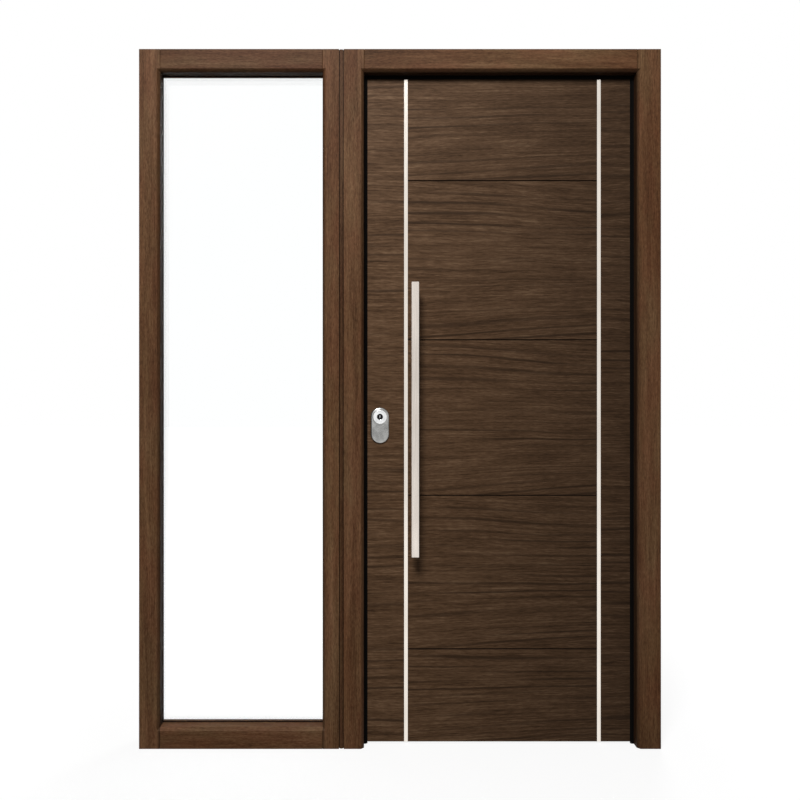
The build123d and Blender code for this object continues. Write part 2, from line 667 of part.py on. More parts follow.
FOREND_FACE_X = lock_edge_x(FOREND_FRONT_Y)
with BuildPart() as lock_forend:
    prism(Plane.XY.offset(FOREND_BOTTOM_Z), forend_plan(), FOREND_LENGTH)
    for height in BOLT_HEIGHTS:
        bore((CASE_X, CORE_MIDDLE_Y, height), (1, 0, 0), BOLT_RADIUS + BOLT_CLEARANCE, CASE_X - LEAF_LOCK_X)
    block(
        (LEAF_LOCK_X, CASE_X),
        around(CORE_MIDDLE_Y, LATCH_WIDTH + 2 * BOLT_CLEARANCE),
        around(LEVER_HEIGHT, LATCH_HEIGHT + 2 * BOLT_CLEARANCE),
        mode=Mode.SUBTRACT,
    )
save(lock_forend, "lock_forend")

with BuildPart() as lock_bolts:
    bolt_length = CASE_X - FOREND_FACE_X - BOLT_SET_BACK
    for height in BOLT_HEIGHTS:
        rod((CASE_X, CORE_MIDDLE_Y, height), (-1, 0, 0), BOLT_RADIUS, bolt_length)
    block(
        (CASE_X - bolt_length, CASE_X),
        around(CORE_MIDDLE_Y, LATCH_WIDTH),
        around(LEVER_HEIGHT, LATCH_HEIGHT),
    )
save(lock_bolts, "lock_bolts")

# Lock cylinder through the leaf, with a plug that the key turns
with BuildPart() as lock_cylinder:
    rod(
        (LOCK_X, CYLINDER_FRONT_Y, LOCK_HEIGHT),
        (0, 1, 0),
        CYLINDER_RADIUS,
        CYLINDER_BACK_Y - CYLINDER_FRONT_Y,
    )
    bore((LOCK_X, CYLINDER_FRONT_Y, LOCK_HEIGHT), (0, -1, 0), PLUG_RADIUS + PLUG_CLEARANCE, PLUG_LENGTH)
save(lock_cylinder, "lock_cylinder")

with BuildPart() as key_plug:
    rod(
        (LOCK_X, CYLINDER_FRONT_Y, LOCK_HEIGHT),
        (0, 1, 0),
        PLUG_RADIUS,
        PLUG_LENGTH - PLUG_CLEARANCE,
    )
    block(
        around(LOCK_X, KEYWAY_WIDTH),
        (CYLINDER_FRONT_Y, CYLINDER_FRONT_Y + KEYWAY_DEPTH),
        around(LOCK_HEIGHT, KEYWAY_HEIGHT),
        mode=Mode.SUBTRACT,
    )
save(key_plug, "key_plug")

# Shield outside: an obround plate with a round boss round the keyhole
with BuildPart() as lock_shield:
    with BuildSketch(Plane.XZ.offset(-LEAF_FRONT_Y)):
        with Locations((LOCK_X, SHIELD_HEIGHT)):
            SlotOverall(SHIELD_LENGTH, SHIELD_WIDTH, rotation=90)
    extrude(amount=SHIELD_THICKNESS)
    chamfer(lock_shield.faces().sort_by(Axis.Y)[0].edges(), length=SHIELD_CHAMFER)
    with BuildSketch(Plane.XZ.offset(-LEAF_FRONT_Y)):
        with Locations((LOCK_X, LOCK_HEIGHT)):
            Circle(BOSS_RADIUS)
    extrude(amount=SHIELD_THICKNESS + BOSS_PROUD)
    chamfer(lock_shield.faces().sort_by(Axis.Y)[0].edges(), length=BOSS_CHAMFER)
    bore((LOCK_X, BOSS_FRONT_Y, LOCK_HEIGHT), (0, -1, 0), CYLINDER_BORE, SHIELD_THICKNESS + BOSS_PROUD)
save(lock_shield, "lock_shield")

# Pull handle outside: a square bar on two round posts
with BuildPart() as pull_bar:
    block(
        around(PULL_X, PULL_SECTION),
        (PULL_BACK_Y - PULL_SECTION, PULL_BACK_Y),
        around(PULL_CENTRE_HEIGHT, PULL_LENGTH),
    )
    fillet(pull_bar.edges().filter_by(Axis.Z), radius=PULL_EDGE_ROUND)
    chamfer(pull_bar.faces().filter_by(Axis.Z).edges(), length=PULL_END_CHAMFER)
save(pull_bar, "pull_bar")

with BuildPart() as pull_posts:
    for height in POST_HEIGHTS:
        rod((PULL_X, PULL_BACK_Y, height), (0, 1, 0), POST_RADIUS, PULL_STANDOFF)
save(pull_posts, "pull_posts")

# Fittings inside: a rose and a thumb turn on the cylinder, a rose and a lever above them
with BuildPart() as thumb_turn_rose:
    rod((LOCK_X, LEAF_BACK_Y, LOCK_HEIGHT), (0, 1, 0), ROSE_RADIUS, ROSE_THICKNESS)
    chamfer(thumb_turn_rose.faces().sort_by(Axis.Y)[-1].edges(), length=ROSE_CHAMFER)
    bore((LOCK_X, ROSE_BACK_Y, LOCK_HEIGHT), (0, 1, 0), CYLINDER_BORE, ROSE_THICKNESS)
save(thumb_turn_rose, "thumb_turn_rose")

with BuildPart() as thumb_turn:
    rod((LOCK_X, ROSE_BACK_Y, LOCK_HEIGHT), (0, 1, 0), TURN_NECK_RADIUS, TURN_NECK_LENGTH)
    with BuildSketch(Plane.XZ.offset(-ROSE_BACK_Y - TURN_NECK_LENGTH)):
        with Locations((LOCK_X, LOCK_HEIGHT)):
            SlotOverall(TURN_LENGTH, TURN_WIDTH, rotation=90)
    extrude(amount=-TURN_DEPTH)
    chamfer(thumb_turn.faces().sort_by(Axis.Y)[-1].edges(), length=TURN_CHAMFER)
save(thumb_turn, "thumb_turn")

with BuildPart() as lever_rose:
    rod((LOCK_X, LEAF_BACK_Y, LEVER_HEIGHT), (0, 1, 0), ROSE_RADIUS, ROSE_THICKNESS)
    chamfer(lever_rose.faces().sort_by(Axis.Y)[-1].edges(), length=ROSE_CHAMFER)
save(lever_rose, "lever_rose")

with BuildPart() as inside_lever:
    lever_front_y = LEAF_BACK_Y + LEVER_PROJECTION - LEVER_THICKNESS
    with BuildSketch(Plane.XZ.offset(-lever_front_y)):
        with Locations((LOCK_X + LEVER_LENGTH / 2, LEVER_HEIGHT)):
            SlotOverall(LEVER_LENGTH + LEVER_WIDTH, LEVER_WIDTH)
    extrude(amount=-LEVER_THICKNESS)
    chamfer(inside_lever.faces().filter_by(Axis.Y).edges(), length=LEVER_CHAMFER)
    rod(
        (LOCK_X, ROSE_BACK_Y, LEVER_HEIGHT), (0, 1, 0), LEVER_NECK_RADIUS, lever_front_y - ROSE_BACK_Y
    )
save(inside_lever, "inside_lever")

# Hinges: the jamb's half carries the pin, the leaf's half drops over it
for level, height in HINGE_LEVELS.items():
    hinge_bottom = height - HINGE_HEIGHT / 2
    hinge_top = height + HINGE_HEIGHT / 2
    lower_knuckle = (hinge_bottom, height - BEARING_GAP / 2)
    upper_knuckle = (height + BEARING_GAP / 2, hinge_top)
    plate_y = (HINGE_PLATE_FRONT_Y, LEAF_BACK_Y)
    neck_y = (LEAF_BACK_Y, HINGE_AXIS_Y)
    axis_foot = (HINGE_AXIS_X, HINGE_AXIS_Y, hinge_bottom)
    with BuildPart() as jamb_half:
        block((DOOR_REBATE_RIGHT, JAMB_PLATE_X), plate_y, (hinge_bottom, hinge_top))
        block((DOOR_REBATE_RIGHT, JAMB_PLATE_X), neck_y, lower_knuckle)
        rod(axis_foot, (0, 0, 1), KNUCKLE_RADIUS, lower_knuckle[1] - lower_knuckle[0])
        rod(axis_foot, (0, 0, 1), PIN_RADIUS, HINGE_HEIGHT - PIN_SHORT)
    save(jamb_half, f"hinge_{level}_jamb_half")
    with BuildPart() as leaf_half:
        block((LEAF_PLATE_X, LEAF_HINGE_X), plate_y, (hinge_bottom, hinge_top))
        block((LEAF_PLATE_X, LEAF_HINGE_X), neck_y, upper_knuckle)
        rod(
            (HINGE_AXIS_X, HINGE_AXIS_Y, upper_knuckle[0]),
            (0, 0, 1),
            KNUCKLE_RADIUS,
            upper_knuckle[1] - upper_knuckle[0],
        )
        bore(
            (HINGE_AXIS_X, HINGE_AXIS_Y, hinge_top),
            (0, 0, 1),
            PIN_RADIUS + PIN_CLEARANCE,
            upper_knuckle[1] - upper_knuckle[0],
        )
    save(leaf_half, f"hinge_{level}_leaf_half")
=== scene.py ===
import math

import bmesh
import bpy
from mathutils import Matrix, Vector


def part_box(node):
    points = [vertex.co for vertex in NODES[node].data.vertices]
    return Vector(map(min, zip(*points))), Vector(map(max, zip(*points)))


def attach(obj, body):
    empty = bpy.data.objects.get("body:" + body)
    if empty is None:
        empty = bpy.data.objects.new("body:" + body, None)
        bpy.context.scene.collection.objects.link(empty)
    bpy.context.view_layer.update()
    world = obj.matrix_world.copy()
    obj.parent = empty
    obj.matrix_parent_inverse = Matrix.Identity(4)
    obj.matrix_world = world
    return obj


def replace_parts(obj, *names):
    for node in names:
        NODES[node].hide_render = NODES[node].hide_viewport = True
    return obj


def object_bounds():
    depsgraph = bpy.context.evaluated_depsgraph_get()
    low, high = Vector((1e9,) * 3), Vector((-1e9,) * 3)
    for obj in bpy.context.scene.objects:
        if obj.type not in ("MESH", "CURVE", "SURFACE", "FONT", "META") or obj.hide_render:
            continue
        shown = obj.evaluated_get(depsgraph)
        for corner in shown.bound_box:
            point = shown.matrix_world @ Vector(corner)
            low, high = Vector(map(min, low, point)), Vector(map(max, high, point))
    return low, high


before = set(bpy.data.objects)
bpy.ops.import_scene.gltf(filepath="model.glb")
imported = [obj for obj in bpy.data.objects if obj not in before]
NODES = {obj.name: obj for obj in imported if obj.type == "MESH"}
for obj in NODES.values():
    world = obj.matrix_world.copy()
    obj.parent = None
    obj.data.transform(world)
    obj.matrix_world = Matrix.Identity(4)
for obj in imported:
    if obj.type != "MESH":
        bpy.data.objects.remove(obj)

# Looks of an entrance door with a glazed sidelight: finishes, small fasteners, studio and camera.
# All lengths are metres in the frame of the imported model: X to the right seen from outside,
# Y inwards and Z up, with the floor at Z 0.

CAD_LOW, CAD_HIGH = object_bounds()
MIDDLE = (CAD_LOW + CAD_HIGH) / 2
LEAF_LOCK_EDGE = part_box("outer_panel")[0].x
LEAF_HINGE_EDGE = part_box("outer_panel")[1].x
LEAF_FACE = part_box("outer_panel")[0].y
INLAY_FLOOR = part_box("inlay_lock_side")[1].y

# Camera, as the photograph was taken: level, square to the door
EYE = Vector((-0.903, -2.545, 1.137))
LENS_MM = 37.5
SENSOR_MM = 36.0
LENS_SHIFT_X = 0.05
LENS_SHIFT_Y = -0.0375

# Studio
WHITE = (1.0, 1.0, 1.0, 1.0)
AMBIENT = 0.22
KEY_PLACE = Vector((-1.55, -3.3, 4.0))
KEY_TARGET = Vector((-0.8, 0.0, 1.0))
KEY_SIZE = 1.4
KEY_WATTS = 212.0
FILL_PLACE = Vector((0.9, 3.1, 2.6))
FILL_TARGET = Vector((-0.8, 0.0, 1.1))
FILL_SIZE = 1.6
FILL_WATTS = 75.0
FLOOR_REACH = 14.0
FLOOR_SEGMENTS = 8
FLOOR_FADE_START = 0.9
FLOOR_FADE_END = 2.6
FLOOR_GREY = (0.16, 0.16, 0.16, 1.0)
FLOOR_GLOW = 0.84

# Painted shade on the frames: the wood is painted darker on the bevels and reveals round the openings
# and in the shadow lines, where shade falls
PAINTED_SHADE_REACH = 0.009
PAINTED_SHADE_KEPT = 0.3
SHADOW_LINE_SINK = 0.002
SHADOW_LINE_SOFTNESS = 0.0005

# Courses of veneer on the leaf
GROOVE_HALF_WIDTH = 0.0019
COURSE_MIDDLE = 0.24
COURSE_STEP = 0.11
GRAIN_FAN = 0.33
LINES_PER_METRE = 32.0
LINE_BUNCHING = 20.0

# The grooves' bottom edges lie behind the inlays' beds, by less than this share of a bed's depth
GROOVE_SEARCH_START = 1e-4
GROOVE_SEARCH_SHARE = 0.5

# Lightness of the veneer at the lock side and at the hinge side: painted light and shade, the outside
# lighter by the lock and darker by the hinges, the inside even
OUTSIDE_PAINTED_FALLOFF = (1.27, 0.6)
INSIDE_PAINTED_FALLOFF = (1.0, 1.0)

# Seeds of the wood, so that no two members look alike
FIRST_UPRIGHT_SEED = 1
FIRST_LEVEL_SEED = 21
OUTSIDE_SEED = 2
INSIDE_SEED = 9
SEED_STEP = (3.7, 1.9, 5.3)

# Lock shield
BOSS_RADIUS = 0.022
BOSS_HEIGHT = 0.006
BOSS_ROUND = 0.003
BORE_RADIUS = 0.009
BORE_ROUND = 0.0012
SHIELD_ROUND = 0.007
SHIELD_ROUND_HEIGHT = 0.0055
SHIELD_CROWN = 0.0012
CROWN_STEPS = 8
ROUND_STEPS = 8
BORE_ROUND_STEPS = 6
SMALLEST_RING = 0.0004
OBROUND_POINTS = 96
BOSS_POINTS = 72

# Soft lip of the door seal, drawn wide to stand in as painted shade in the gap round the leaf: points of
# its section, (reach past the seal, depth)
LIP_SECTION = (
    (-0.0012, -0.0088),
    (0.0022, -0.0072),
    (0.0038, -0.0061),
    (0.0036, -0.0056),
    (-0.0012, -0.0056),
)

# Countersunk screws with a cross recess
SCREW_POINTS = 48
SCREW_SINK = 0.0008
SCREW_RIM = 0.0002
SCREW_CROWN = 0.0006
SCREW_TWIST = 0.9
CROSS_DEPTH = 0.0011
CROSS_REACH = 0.55
CROSS_TAPER = 0.9
CROSS_SLIMNESS = math.tan(math.radians(15))
HINGE_SCREW_RADIUS = 0.0042
LOCK_SCREW_RADIUS = 0.0038

# Rounded edge of a screw's head, as shares of its radius and of its crown
SCREW_EDGE = ((0.94, 0.7), (0.8, 1.0))

# A face looks a given way when its normal follows that way by at least this share
FACING = 0.98

# Stands for zero where a number divides
TINY = 1e-6

# Edges of the pieces that turn by more than this show as sharp
SHARP_ANGLE = math.radians(40)

# Where the screws sit on their plates, as shares of width and height
HINGE_SCREWS = ((0.28, 0.11), (0.62, 0.37), (0.28, 0.63), (0.62, 0.89))
LOCK_SCREWS = ((0.5, 0.045), (0.5, 0.955))

# Grain runs along one axis of the frame
ALONG_X = 0
ALONG_Z = 2

# Sockets of a Mix node for colours, where the names repeat
MIX_FIRST = 6
MIX_SECOND = 7
MIX_RESULT = 2

# Wood members by the direction of their grain, each with the tone of its board.
# The strip between the two frames is painted darker than they are, as painted shade in its recess
# between them.
UPRIGHT_MEMBERS = {
    "hinge_jamb": 1.04,
    "lock_jamb": 1.07,
    "sidelight_outer_stile": 1.08,
    "sidelight_inner_stile": 1.09,
    "coupling_strip": 0.72,
    "glazing_bead_left": 1.0,
    "glazing_bead_right": 1.0,
    "lock_lipping": 1.0,
    "hinge_lipping": 1.0,
}
LEVEL_MEMBERS = {
    "door_head": 1.02,
    "sidelight_head": 0.88,
    "sidelight_bottom_rail": 1.04,
    "glazing_bead_bottom": 1.0,
    "glazing_bead_top": 1.0,
    "top_lipping": 1.0,
    "bottom_lipping": 1.0,
}
HINGE_LEVELS = ("lower", "middle", "upper")


def paint(red, green, blue):
    """A colour in steps of 0 to 255 as it shows on screen, as the linear RGBA a shader takes."""
    linear = []
    for step in (red, green, blue):
        share = step / 255
        linear.append(share / 12.92 if share <= 0.04045 else ((share + 0.055) / 1.055) ** 2.4)
    return (*linear, 1.0)


class Finish:
    """A node material in the making, with short calls for the nodes that the finishes share."""

    def __init__(self, name):
        self.material = bpy.data.materials.new(name)
        self.material.use_nodes = True
        self.tree = self.material.node_tree
        self.shader = self.tree.nodes["Principled BSDF"]
        self.place = self.add("ShaderNodeTexCoord").outputs["Object"]

    def add(self, kind, **settings):
        """A new node, with some of its settings."""
        node = self.tree.nodes.new(kind)
        for key, value in settings.items():
            setattr(node, key, value)
        return node

    def feed(self, socket, value):
        """Links another node's socket to an input, or sets the input to a plain value."""
        if isinstance(value, bpy.types.NodeSocket):
            self.tree.links.new(value, socket)
        else:
            socket.default_value = value

    def set(self, **values):
        """Sets inputs of the shader, named with _ for each space."""
        for key, value in values.items():
            self.feed(self.shader.inputs[key.replace("_", " ")], value)

    def calc(self, operation, first, second=0.0):
        """One step of arithmetic; some operations take no second number."""
        node = self.add("ShaderNodeMath", operation=operation)
        self.feed(node.inputs[0], first)
        self.feed(node.inputs[1], second)
        return node.outputs[0]

    def vector(self, operation, first, second):
        """One step of arithmetic on places or colours."""
        node = self.add("ShaderNodeVectorMath", operation=operation)
        self.feed(node.inputs[0], first)
        self.feed(node.inputs["Scale" if operation == "SCALE" else 1], second)
        return node.outputs[0]

    def weigh(self, *parts):
        """A sum of factors, each times its weight."""
        total, *others = [self.calc("MULTIPLY", factor, weight) for weight, factor in parts]
        for other in others:
            total = self.calc("ADD", other, total)
        return total

    def split(self, place):
        """The three numbers of a place."""
        parts = self.add("ShaderNodeSeparateXYZ")
        self.feed(parts.inputs[0], place)
        return parts.outputs["X"], parts.outputs["Y"], parts.outputs["Z"]

    def noise(self, place, scales, detail, roughness=0.5, colour=False):
        """Noise with its own number of waves per metre along each axis."""
        node = self.add("ShaderNodeTexNoise")
        self.feed(node.inputs["Vector"], self.vector("MULTIPLY", place, scales))
        node.inputs["Scale"].default_value = 1.0
        node.inputs["Detail"].default_value = detail
        node.inputs["Roughness"].default_value = roughness
        return node.outputs["Color" if colour else "Fac"]

    def sway(self, place, scales, amount):
        """The place, pushed about by slow noise: up to half of amount each way along each axis."""
        push = self.noise(place, scales, detail=1.0, colour=True)
        centred = self.vector("SUBTRACT", push, (0.5, 0.5, 0.5))
        return self.vector("ADD", place, self.vector("MULTIPLY", centred, amount))

    def ramp(self, factor, *stops):
        """Colours along a factor, from stops of (position, colour)."""
        node = self.add("ShaderNodeValToRGB")
        colours = node.color_ramp.elements
        while len(colours) < len(stops):
            colours.new(1.0)
        for element, (position, colour) in zip(colours, stops):
            element.position = position
            element.color = colour
        self.feed(node.inputs[0], factor)
        return node.outputs[0]

    def level(self, factor, low, high, out_low=0.0, out_high=1.0):
        """Takes a range of a factor to another range, clamped at its ends."""
        node = self.add("ShaderNodeMapRange")
        self.feed(node.inputs["Value"], factor)
        node.inputs["From Min"].default_value = low
        node.inputs["From Max"].default_value = high
        node.inputs["To Min"].default_value = out_low
        node.inputs["To Max"].default_value = out_high
        return node.outputs[0]

    def blend(self, factor, first, second, mode="MIX"):
        """The first colour, taken to the second by a factor."""
        node = self.add("ShaderNodeMix", data_type="RGBA", blend_type=mode)
        self.feed(node.inputs["Factor"], factor)
        self.feed(node.inputs[MIX_FIRST], first)
        self.feed(node.inputs[MIX_SECOND], second)
        return node.outputs[MIX_RESULT]

    def bump(self, height, distance, strength):
        """Gives the surface a fine relief."""
        node = self.add("ShaderNodeBump")
        node.inputs["Distance"].default_value = distance
        node.inputs["Strength"].default_value = strength
        self.feed(node.inputs["Height"], height)
        self.feed(self.shader.inputs["Normal"], node.outputs[0])


def by_axis(axis, lengthwise, crosswise):
    """A number for each axis: one along the grain, and another across it."""
    return tuple(lengthwise if i == axis else crosswise for i in range(3))


def seed_shift(seed):
    """A step to another part of the endless noise, so that no two members look alike."""
    return tuple(step * seed for step in SEED_STEP)


def lacquer(finish, colour, figure):
    """Stained wood under a thin matt lacquer that is a little smoother where the figure is pale."""
    finish.set(Base_Color=colour, Roughness=finish.level(figure, 0.38, 0.62, 0.62, 0.48))
    finish.set(Specular_IOR_Level=0.03, Coat_Weight=0.05, Coat_Roughness=0.45, Coat_IOR=1.5)


def opening_painted_shade(finish):
    """How much of its lightness the wood keeps towards the two openings: painted shade on their bevels
    and reveals.
    """
    across, _, height = finish.split(finish.place)
    openings = (
        ("sidelight_outer_stile", "sidelight_inner_stile", "sidelight_head"),
        ("lock_jamb", "hinge_jamb", "door_head"),
    )
    nearest = PAINTED_SHADE_REACH
    for left, right, top in openings:
        to_left = finish.calc("SUBTRACT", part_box(left)[1].x, across)
        to_right = finish.calc("SUBTRACT", across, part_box(right)[0].x)
        to_top = finish.calc("SUBTRACT", height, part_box(top)[0].z)
        away = finish.calc("MAXIMUM", finish.calc("MAXIMUM", to_left, to_right), to_top)
        nearest = finish.calc("MINIMUM", away, nearest)
    return finish.level(nearest, 0.0, PAINTED_SHADE_REACH, PAINTED_SHADE_KEPT, 1.0)


def shadow_line_painted_shade(finish):
    """How much of its lightness the strip between the frames keeps: painted shade in its shadow lines.
    """
    depth = finish.calc("ABSOLUTE", finish.split(finish.place)[1])
    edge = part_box("coupling_strip")[1].y - SHADOW_LINE_SINK
    sunk = edge - SHADOW_LINE_SOFTNESS
    flush = edge + SHADOW_LINE_SOFTNESS
    return finish.level(depth, sunk, flush, PAINTED_SHADE_KEPT, 1.0)


# Members with painted shade, each with what gives its darkening
PAINTED_SHADES = {
    "hinge_jamb": opening_painted_shade,
    "lock_jamb": opening_painted_shade,
    "sidelight_outer_stile": opening_painted_shade,
    "sidelight_inner_stile": opening_painted_shade,
    "door_head": opening_painted_shade,
    "sidelight_head": opening_painted_shade,
    "coupling_strip": shadow_line_painted_shade,
}


def sapele(node, axis, seed, tone):
    """Red-brown hardwood of the frames: broken ribbons, short flecks and open pores along its grain.

    tone makes the board of a node lighter or darker than the usual one.
    """
    finish = Finish(f"sapele_{node}")
    start = finish.vector("ADD", finish.place, seed_shift(seed))
    place = finish.sway(start, by_axis(axis, 1.1, 2.5), by_axis(axis, 0.0, 0.03))
    ribbon = finish.noise(place, by_axis(axis, 1.8, 40.0), detail=3.0, roughness=0.6)
    fleck = finish.noise(place, by_axis(axis, 85.0, 330.0), detail=2.0, roughness=0.6)
    fibre = finish.noise(place, by_axis(axis, 14.0, 420.0), detail=2.0)
    pores = finish.noise(place, by_axis(axis, 75.0, 1500.0), detail=0.0)
    cloud = finish.noise(place, by_axis(axis, 1.7, 5.0), detail=2.0)
    hue = finish.noise(place, by_axis(axis, 6.0, 24.0), detail=2.0)
    figure = finish.weigh((0.4, ribbon), (0.32, fleck), (0.28, fibre))
    colour = finish.ramp(
        figure,
        (0.36, paint(62, 42, 28)),
        (0.46, paint(83, 59, 42)),
        (0.54, paint(96, 71, 52)),
        (0.66, paint(114, 88, 67)),
    )
    warmth = finish.ramp(cloud, (0.32, paint(234, 222, 210)), (0.68, paint(255, 253, 250)))
    colour = finish.blend(1.0, colour, warmth, "MULTIPLY")
    tinge = finish.ramp(hue, (0.36, paint(255, 242, 234)), (0.64, paint(252, 255, 244)))
    colour = finish.blend(1.0, colour, tinge, "MULTIPLY")
    pore = finish.level(pores, 0.63, 0.74)
    colour = finish.blend(finish.calc("MULTIPLY", pore, 0.5), colour, paint(38, 24, 14))
    colour = finish.vector("SCALE", colour, tone)
    # Painted shade: darker towards the openings on the jambs, stiles and heads, and in the shadow lines
    # of the strip
    if node in PAINTED_SHADES:
        colour = finish.vector("SCALE", colour, PAINTED_SHADES[node](finish))
    lacquer(finish, colour, figure)
    finish.bump(finish.weigh((0.5, fibre), (-1.0, pore)), 0.00025, 0.35)
    return finish.material


def groove_heights():
    """Heights of the grooves across the outer panel, read from their bottom edges.

    The grooves are the only cuts in that face that go a little deeper than the inlays' beds.
    """
    start = INLAY_FLOOR + GROOVE_SEARCH_START
    end = INLAY_FLOOR + GROOVE_SEARCH_SHARE * (INLAY_FLOOR - LEAF_FACE)
    corners = [vertex.co for vertex in NODES["outer_panel"].data.vertices]
    return sorted({round(corner.z, 4) for corner in corners if start < corner.y < end})


def between_inlays(finish, across):
    """1 on the field of the leaf between the two inlays, given the place across the leaf."""
    right_of_first = finish.calc("GREATER_THAN", across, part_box("inlay_lock_side")[0].x)
    left_of_second = finish.calc("LESS_THAN", across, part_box("inlay_hinge_side")[1].x)
    return finish.calc("MULTIPLY", right_of_first, left_of_second)


def courses(finish, across, height):
    """Where the veneer is laid in courses, parted by the grooves: (middle, count, groove, fan).

    middle is the height of a course's middle, count its number from below, groove is 1 inside a
    groove, and fan says how fast the grain lines draw together. All are 0 beside the inlays.
    """
    field = between_inlays(finish, across)
    middle, count, groove = COURSE_MIDDLE, 0.0, 0.0
    for edge in groove_heights():
        above = finish.calc("SUBTRACT", height, edge)
        passed = finish.calc("GREATER_THAN", above, 0.0)
        middle = finish.calc("MAXIMUM", finish.calc("MULTIPLY", passed, edge + COURSE_MIDDLE), middle)
        count = finish.calc("ADD", passed, count)
        near = finish.calc("LESS_THAN", finish.calc("ABSOLUTE", above), GROOVE_HALF_WIDTH)
        groove = finish.calc("ADD", near, groove)
    return (finish.calc("MULTIPLY", field, value) for value in (middle, count, groove, GRAIN_FAN))


def veneer(name, seed, painted_falloff, grooved):
    """Smoked veneer of the leaf, laid across: fine flecks, quiet zones and bands of dark grain lines.

    The painted falloff is how much of its lightness the veneer has at the lock side and at the hinge
    side: painted light and shade.
    grooved says whether it is laid in courses, cut one after the other from the same log, with
    grooves between them painted near black as painted shade, and grain lines that draw together towards
    the hinges.
    """
    finish = Finish(name)
    across, depth, height = finish.split(finish.place)
    sheet = finish.place
    if grooved:
        middle, count, groove, fan = courses(finish, across, height)
        from_lock_edge = finish.calc("SUBTRACT", across, LEAF_LOCK_EDGE)
        spread = finish.calc("ADD", finish.calc("MULTIPLY", from_lock_edge, fan), 1.0)
        log = finish.add("ShaderNodeCombineXYZ")
        finish.feed(log.inputs["X"], across)
        cut = finish.calc("MULTIPLY", count, COURSE_STEP)
        finish.feed(log.inputs["Y"], finish.calc("ADD", cut, depth))
        from_middle = finish.calc("SUBTRACT", height, middle)
        finish.feed(log.inputs["Z"], finish.calc("MULTIPLY", from_middle, spread))
        sheet = log.outputs[0]
    start = finish.vector("ADD", sheet, seed_shift(seed))
    wavy = finish.sway(start, (2.0, 1.5, 5.0), (0.0, 0.0, 0.035))
    place = finish.sway(wavy, (15.0, 3.0, 34.0), (0.0, 0.0, 0.004))
    fleck = finish.noise(place, (42.0, 60.0, 400.0), detail=2.0, roughness=0.6)
    streak = finish.noise(place, (4.5, 6.0, 210.0), detail=3.0, roughness=0.6)
    mottle = finish.noise(place, (7.0, 10.0, 34.0), detail=2.0)
    zone = finish.noise(place, (0.5, 2.0, 6.5), detail=1.0)
    bunching = finish.noise(place, (0.6, 4.0, 9.0), detail=1.0)
    fade = finish.noise(place, (2.4, 4.0, 24.0), detail=1.0)
    pores = finish.noise(place, (60.0, 400.0, 1300.0), detail=0.0)
    figure = finish.weigh((0.38, fleck), (0.4, streak), (0.22, mottle))
    colour = finish.ramp(
        figure,
        (0.35, paint(47, 32, 20)),
        (0.46, paint(69, 50, 34)),
        (0.54, paint(81, 60, 43)),
        (0.65, paint(102, 80, 60)),
    )
    turns = 2 * math.pi * LINES_PER_METRE
    ring = finish.weigh((turns, finish.split(place)[2]), (LINE_BUNCHING, bunching))
    line = finish.level(finish.calc("SINE", ring), 0.4, 1.0)
    by_zone = finish.level(zone, 0.4, 0.56, 0.22, 0.75)
    strength = finish.calc("MULTIPLY", by_zone, finish.level(fade, 0.36, 0.56))
    colour = finish.blend(finish.calc("MULTIPLY", line, strength), colour, paint(36, 24, 14))
    pore = finish.level(pores, 0.64, 0.74)
    colour = finish.blend(finish.calc("MULTIPLY", pore, 0.4), colour, paint(34, 22, 13))
    # Painted light and shade: lighter at the lock side, darker at the hinge side
    lightness = finish.level(across, LEAF_LOCK_EDGE, LEAF_HINGE_EDGE, *painted_falloff)
    colour = finish.vector("SCALE", colour, lightness)
    # Painted shade in the grooves: their faces are painted near black
    if grooved:
        colour = finish.blend(groove, colour, paint(24, 15, 8))
    lacquer(finish, colour, figure)
    finish.bump(finish.weigh((0.6, fleck), (-0.8, pore)), 0.0002, 0.35)
    return finish.material


def brushed(name, axis, shades, roughness):
    """Brushed metal with its scratches along one axis and a slow mottle under them."""
    finish = Finish(name)
    scratch = finish.noise(finish.place, by_axis(axis, 9.0, 1600.0), detail=2.0, roughness=0.6)
    mottle = finish.noise(finish.place, by_axis(axis, 6.0, 40.0), detail=2.0)
    tone = finish.weigh((0.55, scratch), (0.45, mottle))
    finish.set(Base_Color=finish.ramp(tone, (0.34, paint(*shades[0])), (0.66, paint(*shades[1]))))
    finish.set(Roughness=finish.level(scratch, 0.3, 0.7, roughness - 0.06, roughness + 0.08))
    finish.set(Metallic=1.0)
    finish.bump(scratch, 0.00003, 0.5)
    return finish.material


def satin(name, shades, roughness):
    """Satin metal without a direction: fine even grain, and a soft cloud of tarnish."""
    finish = Finish(name)
    speck = finish.noise(finish.place, (900.0, 900.0, 900.0), detail=1.0)
    cloud = finish.noise(finish.place, (45.0, 45.0, 45.0), detail=3.0)
    finish.set(Base_Color=finish.ramp(cloud, (0.32, paint(*shades[0])), (0.68, paint(*shades[1]))))
    finish.set(Roughness=finish.level(speck, 0.3, 0.7, roughness - 0.05, roughness + 0.07))
    finish.set(Metallic=1.0)
    finish.bump(speck, 0.00001, 0.2)
    return finish.material


def rubber(name):
    """Black rubber, matt and finely speckled."""
    finish = Finish(name)
    speck = finish.noise(finish.place, (700.0, 700.0, 700.0), detail=2.0)
    finish.set(Base_Color=finish.ramp(speck, (0.3, paint(5, 4, 4)), (0.7, paint(14, 13, 12))))
    finish.set(Roughness=finish.level(speck, 0.3, 0.7, 0.66, 0.82), Specular_IOR_Level=0.03)
    finish.bump(speck, 0.0001, 0.4)
    return finish.material


